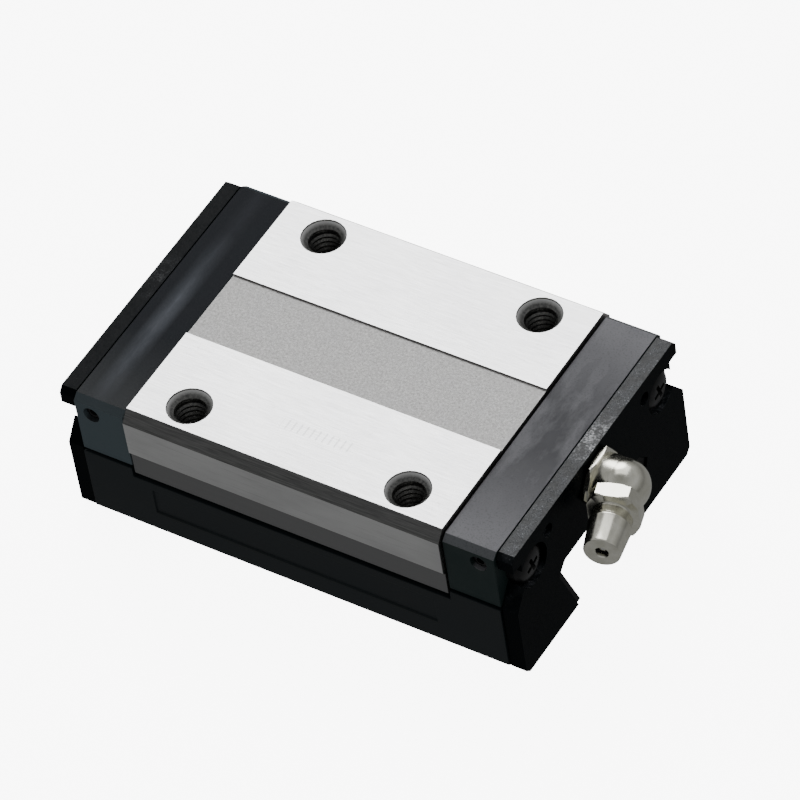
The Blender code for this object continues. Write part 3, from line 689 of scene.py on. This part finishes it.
def carve(thing, operation, other):
    """Joins another shape to a piece, or cuts it out, for good. The other shape is used up."""
    step = thing.modifiers.new(operation.lower(), "BOOLEAN")
    step.operation = operation
    step.solver = "EXACT"
    step.object = other
    bpy.context.view_layer.update()
    result = thing.evaluated_get(bpy.context.evaluated_depsgraph_get())
    shaped = bpy.data.meshes.new_from_object(result)
    thing.modifiers.clear()
    thing.data = shaped
    bpy.data.objects.remove(other)
    thing.data.set_sharp_from_angle(angle=radians(30))


def cross_recess(head, place, axis):
    """Cuts a cross-shaped drive recess, tapered towards its foot, into a screw head."""
    side = axis.cross(UP)
    right = UP * cos(CROSS_TILT) + side * sin(CROSS_TILT)
    up = side * cos(CROSS_TILT) - UP * sin(CROSS_TILT)
    for a, b in ((right, up), (up, right)):
        loops = []
        for depth, length, width in ((0.5, 1.50, 0.36), (-1.15, 0.75, 0.22)):
            base = place + axis * depth * MM
            reach, half = a * length * MM, b * width * MM
            near, far = base + reach, base - reach
            loops.append([near + half, far + half, far - half, near - half])
        bm = bmesh.new()
        bridge(bm, loops)
        carve(head, "DIFFERENCE", object_from("recess_cutter", bm, head.data.materials[0]))


def end_screws(material):
    """Domed screws with a cross recess, one on each side of each end."""
    height, radius, shank = SCREW_HEAD_HEIGHT, SCREW_HEAD_RADIUS, SCREW_SHANK_RADIUS
    dome = []
    for i in range(13):
        a = pi / 2 * i / 14
        dome.append((SCREW_RIM + (height - SCREW_RIM) * sin(a), radius * cos(a) ** 0.62))
    for end, e in ENDS.items():
        for side in SIDES:
            node = f"{end}_{side}_end_screw"
            low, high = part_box(node)
            y, z = (low.y + high.y) / 2, (low.z + high.z) / 2
            face, tip = (high.x, low.x) if e > 0 else (low.x, high.x)
            seat = face - e * height
            length = abs(seat - tip)
            profile = [(-length, 0.9 * MM), (-length + 0.5 * MM, shank)]
            profile += [(0.0, shank), (0.0, radius - 0.08 * MM), (0.08 * MM, radius)]
            profile += dome + [(height, 0.05 * MM)]
            origin = Vector((seat, y, z))
            head = turned(f"{node}_fine", origin, ALONG * e, profile, 64, material)
            cross_recess(head, Vector((face, y, z)), ALONG * e)
            place_node(head, "root", node)


# Grease nipple


def nozzle_point(distance):
    return ELBOW_CENTRE + NOZZLE_AXIS * distance


def hexagon(start, stop, flats, corner):
    """Profile steps of a hexagon whose ends are turned away at 30 degrees."""
    full, cap, steps = flats / cos(pi / 6), flats * 1.04, 4
    rise = (full - cap) * 0.58
    head, tail = [], []
    for i in range(steps + 1):
        inset, radius = rise * i / steps, cap + (full - cap) * i / steps
        head.append((start + inset, radius, flats, corner))
        tail.insert(0, (stop - inset, radius, flats, corner))
    return head + tail


def elbow(material):
    """Threaded root with a hexagon, a ball corner and a mouth, joined and bored through."""
    flats, thread, pitch = NIPPLE_FLATS / 2, 2.8 * MM, 0.75 * MM
    seat = 0.2 * MM - ELBOW_CORNER
    root = seat - 5.4 * MM
    profile = [(root, thread - 0.5 * MM)]
    for i in range(6):
        foot = root + 0.2 * MM + i * pitch
        profile += [(foot, thread - 0.4 * MM)]
        profile += [(foot + pitch * 0.45, thread), (foot + pitch * 0.55, thread)]
    profile += [(seat - 0.05 * MM, thread)]
    profile += hexagon(seat, seat + 0.65 * MM, flats, NIPPLE_FLATS)
    profile += [(seat + 0.68 * MM, ELBOW_LEG_RADIUS * 0.985), (seat + 0.78 * MM, ELBOW_LEG_RADIUS)]
    profile += [(0.0, ELBOW_LEG_RADIUS)]
    body = turned("nipple_elbow_fine", ELBOW_CENTRE, ALONG, profile, 72, material)
    bm = bmesh.new()
    ball(bm, ELBOW_CENTRE, ELBOW_CORNER_RADIUS, 72, 48)
    carve(body, "UNION", object_from("corner", bm, material))
    mouth = NOZZLE_START - 0.3 * MM
    leg = [(0.0, ELBOW_MOUTH_RADIUS), (NOZZLE_START, ELBOW_MOUTH_RADIUS)]
    carve(body, "UNION", turned("leg", ELBOW_CENTRE, NOZZLE_AXIS, leg, 70, material))
    # Passages along the root and the leg, the socket for the nozzle, and the cut that ends the leg
    for axis, start, stop, radius in (
        (ALONG, root - 1.0 * MM, 0.4 * MM, ELBOW_BORE_RADIUS),
        (NOZZLE_AXIS, -0.4 * MM, mouth - 0.7 * MM, ELBOW_BORE_RADIUS),
        (NOZZLE_AXIS, mouth - 0.9 * MM, mouth + 0.6 * MM, 2.0 * MM),
        (NOZZLE_AXIS, mouth, mouth + 1.5 * MM, 4.2 * MM),
    ):
        bore = [(start, radius), (stop, radius)]
        carve(body, "DIFFERENCE", turned("bore", ELBOW_CENTRE, axis, bore, 40, material))
    place_node(body, "root", "nipple_elbow")


def nozzle(material):
    """Hexagon, neck, flared coupling head and flat nose with the check valve's mouth."""
    end, flats = NOZZLE_LENGTH, NIPPLE_FLATS / 2
    profile = [(-1.0 * MM, 1.7 * MM), (0.0, 1.7 * MM)]
    profile += hexagon(0.0, 2.1 * MM, flats, NOZZLE_HALF_WIDTH)
    profile += [(2.12 * MM, 2.8 * MM)] + arc((2.45 * MM, 2.75 * MM), 0.25 * MM, -90, -180, 5)[1:]
    profile += [(3.0 * MM, 2.5 * MM), (3.12 * MM, 2.54 * MM), (3.65 * MM, 2.72 * MM)]
    profile += arc((4.0 * MM, 2.5 * MM), 0.3 * MM, -40, 30, 6)
    profile += [(end - 0.35 * MM, 2.42 * MM)]
    profile += arc((end - 0.22 * MM, 2.18 * MM), 0.22 * MM, 10, 90, 5)
    profile += [(end, 0.92 * MM), (end - 0.12 * MM, 0.8 * MM), (end - 0.5 * MM, 0.8 * MM)]
    profile += [(end - 1.0 * MM, 1.15 * MM), (1.2 * MM, 1.15 * MM)]
    profile += [(1.2 * MM, 0.6 * MM), (-1.0 * MM, 0.6 * MM)]
    base = nozzle_point(NOZZLE_START)
    body = turned("nipple_nozzle_fine", base, NOZZLE_AXIS, profile, 72, material, True)
    place_node(body, "root", "nipple_nozzle")


def check_ball(material):
    """The ball that closes the nozzle's mouth from inside."""
    low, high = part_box("nipple_check_ball")
    bm = bmesh.new()
    ball(bm, (low + high) / 2, CHECK_BALL_RADIUS, 32, 20)
    fine = object_from("nipple_check_ball_fine", bm, material, 60)
    place_node(fine, "nipple_valve", "nipple_check_ball")


def check_spring(material):
    """The coil behind the check ball."""
    coil_radius, wire, turns, steps = 0.75 * MM, 0.13 * MM, 5, 28
    start, end = 1.5 * MM, NOZZLE_LENGTH - 2.75 * MM
    right = UP.cross(NOZZLE_AXIS).normalized()
    up = NOZZLE_AXIS.cross(right)
    loops = []
    for i in range(turns * steps + 1):
        angle = 2 * pi * i / steps
        out = right * cos(angle) + up * sin(angle)
        place = nozzle_point(NOZZLE_START + start + (end - start) * i / (turns * steps))
        loops.append(ring(place + out * coil_radius, out, NOZZLE_AXIS, wire, 10))
    bm = bmesh.new()
    bridge(bm, loops)
    coil = object_from("nipple_spring_fine", bm, material)
    place_node(coil, "root", "nipple_spring")


# Everything that keeps its CAD shape


def dress_nodes():
    """Resin, rubber and small steel pieces. The rear cap's flat faces aren't merged, which keeps
    its inside clear of the ball cages."""
    # The two caps are one resin; their two materials hold different painted light.
    caps = {"front": front_cap_resin(), "rear": rear_cap_resin()}
    seals = {
        "front": greasy_resin("front_seal_resin", 1.0),
        "rear": greasy_resin("rear_seal_resin", 0.06),
    }
    cover = resin("skirt_resin", (0.007, 0.011, 0.013), 0.42, 0.2)
    inner = resin("retainer_resin", (0.02, 0.022, 0.025), 0.5, 0.3)
    lip, steel = rubber(), black_oxide()
    for end in ENDS:
        finish_node(f"{end}_end_cap", caps[end], 0.16 * MM, 40.0, merge=end == "front")
        finish_node(f"{end}_seal_plate", seals[end], 0.2 * MM)
        finish_node(f"{end}_seal_lip", lip, 0.12 * MM)
        for side in SIDES:
            finish_node(f"{end}_{side}_port_plug", steel, 0.05 * MM)
            finish_node(f"{end}_{side}_seal_pin", steel, 0.08 * MM)
    for side in SIDES:
        finish_node(f"{side}_side_skirt", cover, 0.15 * MM)
        finish_node(f"{side}_bottom_seal", lip, 0.1 * MM)
        finish_node(f"{side}_corner_ball_retainer", inner, 0.06 * MM)
        finish_node(f"{side}_lower_ball_retainer", inner, 0.06 * MM)
    finish_node("top_ball_retainer", inner, 0.06 * MM)
    finish_node("rear_port_plug", steel, 0.08 * MM)
    finish_node("nipple_gasket", lip, 0.06 * MM)
    for name in circuits():
        for end in ENDS:
            finish_node(f"{name}_{end}_return_guide", inner, 0.06 * MM)


# Studio


def direction_of(azimuth, elevation):
    """From the object outwards, in radians. Azimuth 0 is in front of the near side."""
    level = cos(elevation)
    return Vector((sin(azimuth) * level, -cos(azimuth) * level, sin(elevation)))


def camera():
    """Sets the long lens at its angle, turned by the roll."""
    data = bpy.data.cameras.new("camera")
    data.lens = LENS
    data.sensor_width = 36
    data.clip_start = 0.01
    data.clip_end = 20
    made = bpy.data.objects.new("camera", data)
    bpy.context.scene.collection.objects.link(made)
    back = direction_of(CAMERA_AZIMUTH, CAMERA_ELEVATION)
    level = Vector((cos(CAMERA_AZIMUTH), sin(CAMERA_AZIMUTH), 0))
    up = back.cross(level)
    right = level * cos(CAMERA_ROLL) - up * sin(CAMERA_ROLL)
    up = level * sin(CAMERA_ROLL) + up * cos(CAMERA_ROLL)
    turn = Matrix((right, up, back)).transposed().to_4x4()
    made.matrix_world = Matrix.Translation(AIM + back * CAMERA_DISTANCE) @ turn
    bpy.context.scene.camera = made


def overhead_light():
    """A soft square panel behind and above the object, which looks at it."""
    data = bpy.data.lights.new("overhead", "AREA")
    data.shape = "RECTANGLE"
    data.size = data.size_y = OVERHEAD_SIZE
    data.energy = OVERHEAD_POWER
    made = bpy.data.objects.new("overhead", data)
    bpy.context.scene.collection.objects.link(made)
    away = direction_of(OVERHEAD_AZIMUTH, OVERHEAD_ELEVATION)
    made.location = MIDDLE + away * OVERHEAD_DISTANCE
    made.rotation_euler = away.to_track_quat("Z", "Y").to_euler()


def sky():
    """A soft studio surround, with one bright panel high behind the object."""
    world = bpy.data.worlds.new("studio_world")
    world.use_nodes = True
    tree = world.node_tree
    direction = tree.nodes.new("ShaderNodeTexCoord").outputs["Generated"]
    height = tree.nodes.new("ShaderNodeSeparateXYZ")
    tree.links.new(direction, height.inputs["Vector"])
    rise = tree.nodes.new("ShaderNodeMapRange")
    rise.inputs["From Min"].default_value = -1.0
    tree.links.new(height.outputs["Z"], rise.inputs["Value"])
    ramp = tree.nodes.new("ShaderNodeValToRGB")
    tree.links.new(rise.outputs["Result"], ramp.inputs["Fac"])
    elements = ramp.color_ramp.elements
    elements.remove(elements[0])
    for i, (z, value) in enumerate(SKY_STOPS):
        position = (z + 1) / 2
        element = elements[0] if i == 0 else elements.new(position)
        element.position = position
        element.color = (value * 0.99, value, value * 1.01, 1.0)
    facing = tree.nodes.new("ShaderNodeVectorMath")
    facing.operation = "DOT_PRODUCT"
    tree.links.new(direction, facing.inputs[0])
    facing.inputs[1].default_value = PANEL_DIRECTION
    panel = tree.nodes.new("ShaderNodeMapRange")
    panel.interpolation_type = "SMOOTHSTEP"
    panel.inputs["From Min"].default_value, panel.inputs["From Max"].default_value = PANEL_EDGE
    panel.inputs["To Max"].default_value = PANEL_LIGHT
    tree.links.new(facing.outputs["Value"], panel.inputs["Value"])
    total = tree.nodes.new("ShaderNodeVectorMath")
    total.operation = "ADD"
    tree.links.new(ramp.outputs["Color"], total.inputs[0])
    tree.links.new(panel.outputs["Result"], total.inputs[1])
    tree.links.new(total.outputs["Vector"], tree.nodes["Background"].inputs["Color"])
    bpy.context.scene.world = world


def studio():
    """A pale glowing floor that lights nothing itself, the surround, and one panel."""
    size = FLOOR_HALF_SIZE
    bm = bmesh.new()
    corners = ((-size, -size), (size, -size), (size, size), (-size, size))
    bm.faces.new([bm.verts.new((x, y, 0)) for x, y in corners])
    paper = Finish("backdrop_paper", (0.93, 0.93, 0.93), 0.85)
    grain = paper.range(paper.noise(4 * MM, 3.0), 0.3, 0.7)
    paper.set("Base Color", paper.blend(grain, (0.925, 0.925, 0.925), (0.935, 0.935, 0.935)))
    paper.set("Emission Color", (1.0, 1.0, 1.0, 1.0))
    paper.set("Emission Strength", FLOOR_LIGHT)
    floor = object_from("studio_floor", bm, paper.material)
    floor.location.z = -FLOOR_GAP
    floor.visible_glossy = False
    floor.visible_diffuse = False
    sky()
    overhead_light()


camera()
dress_block()
dress_nodes()
hole_threads(bpy.data.materials["hole_steel"])
balls()
end_screws(black_oxide())
elbow(nickel())
nozzle(bpy.data.materials["nickel_plate"])
check_ball(ball_steel())
check_spring(spring_wire())
studio()
